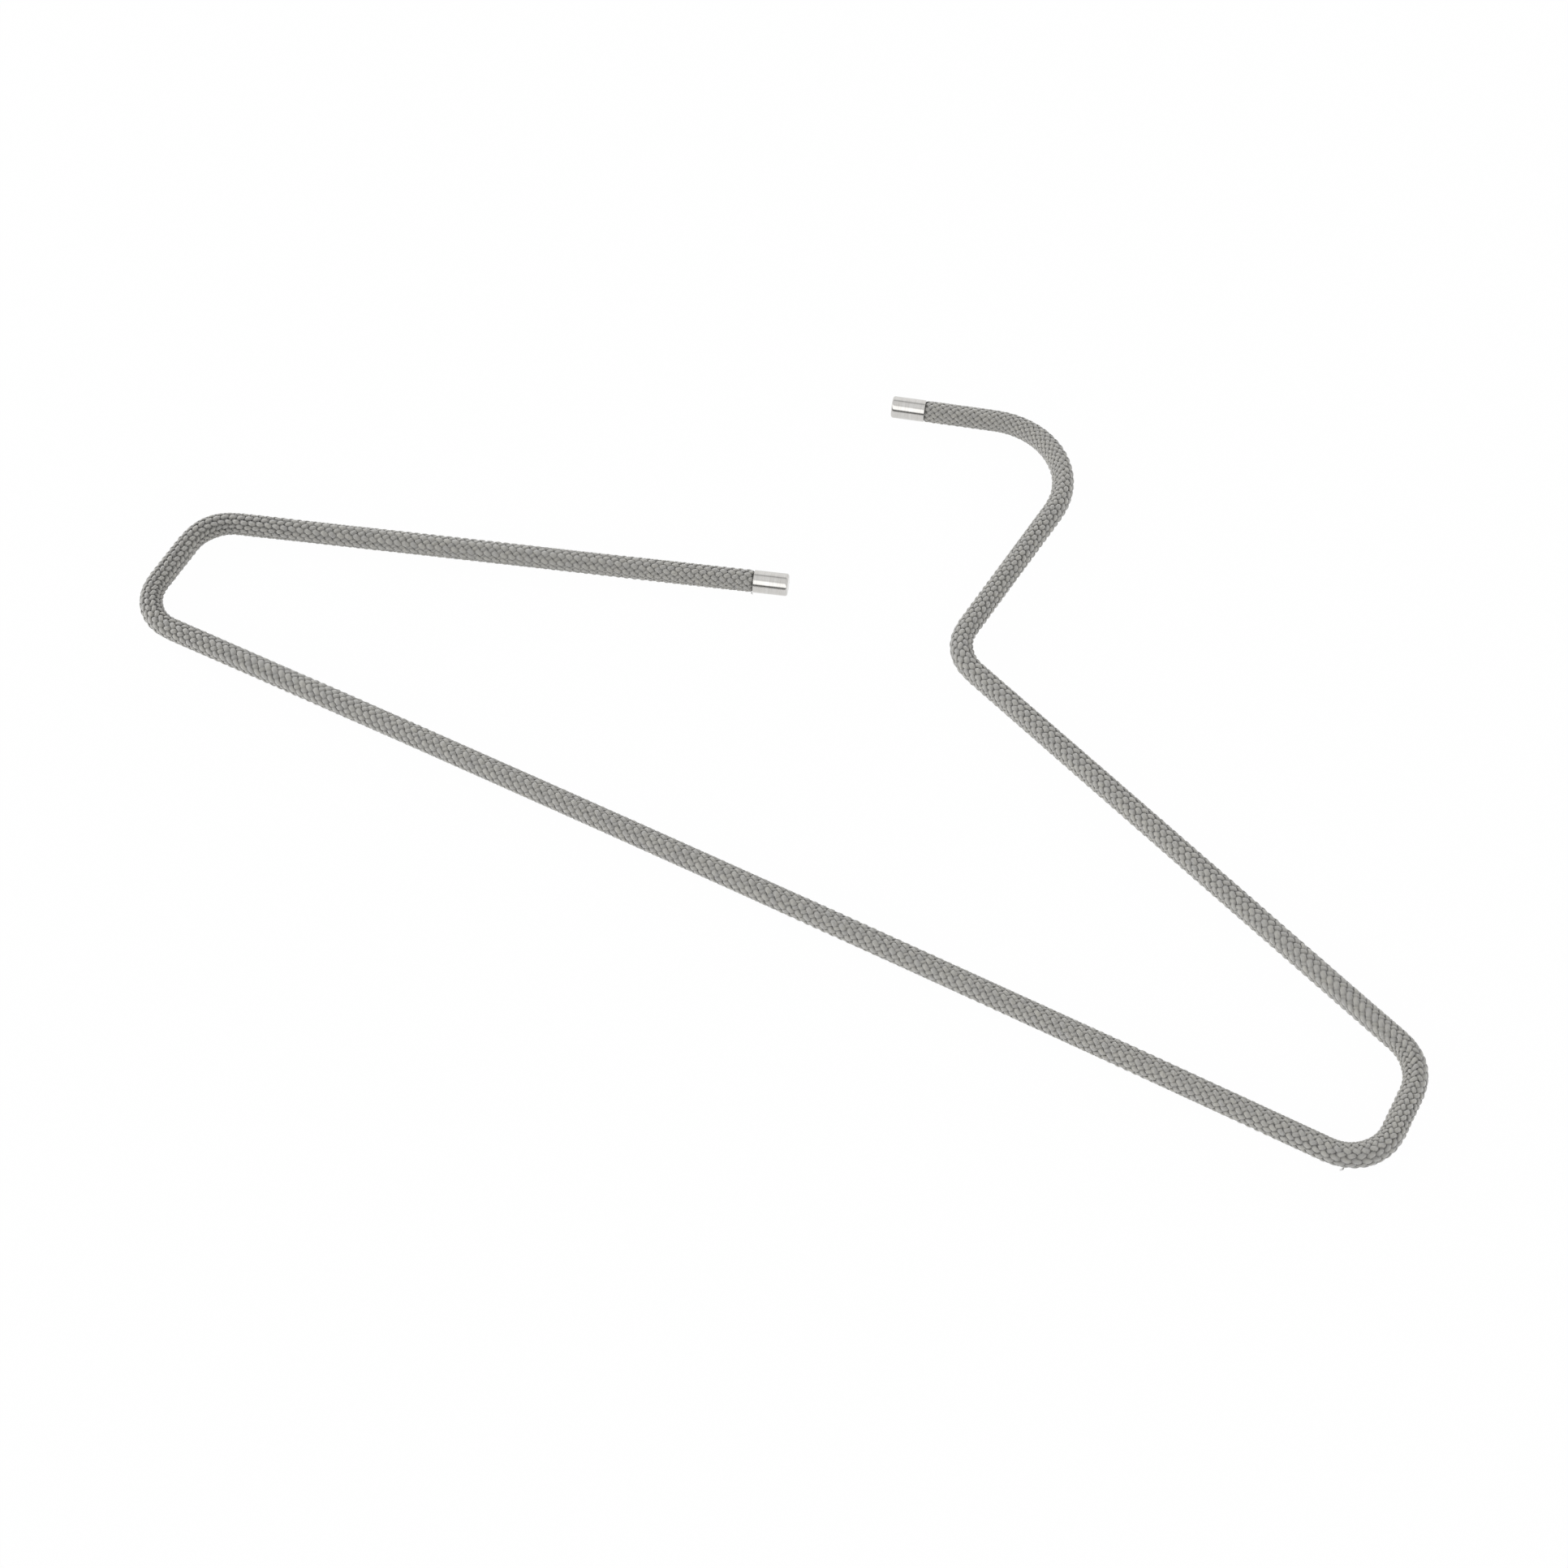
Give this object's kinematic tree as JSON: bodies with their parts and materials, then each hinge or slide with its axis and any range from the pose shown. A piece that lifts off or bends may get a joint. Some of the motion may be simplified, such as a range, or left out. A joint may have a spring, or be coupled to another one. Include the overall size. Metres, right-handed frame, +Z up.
{
  "type": "coat hanger",
  "caption": "Flat coat hanger: bent steel rod in a grey braided sleeve, straight bar, squared ears, sloping arms, open left arm end, offset angular hook, steel end caps.",
  "frame": {"origin": "on the surface that the hanger lies on, under the middle of its bar", "axes": "+X along the bar towards the arm that carries the neck, +Y from the bar towards the hook in the hanger's plane, +Z up, square to that plane"},
  "size_m": [0.4296, 0.2094, 0.0075],
  "materials": {
    "core_steel": "drawn steel rod, hidden in the sleeve",
    "grey_braid": "matt braided polyester yarn, warm grey",
    "cap_steel": "brushed stainless steel with a satin sheen"
  },
  "bodies": {
    "root": {"core_rod": "core_steel", "braided_sleeve": "grey_braid", "hook_cap": "cap_steel", "arm_cap": "cap_steel"}
  },
  "joints": []
}
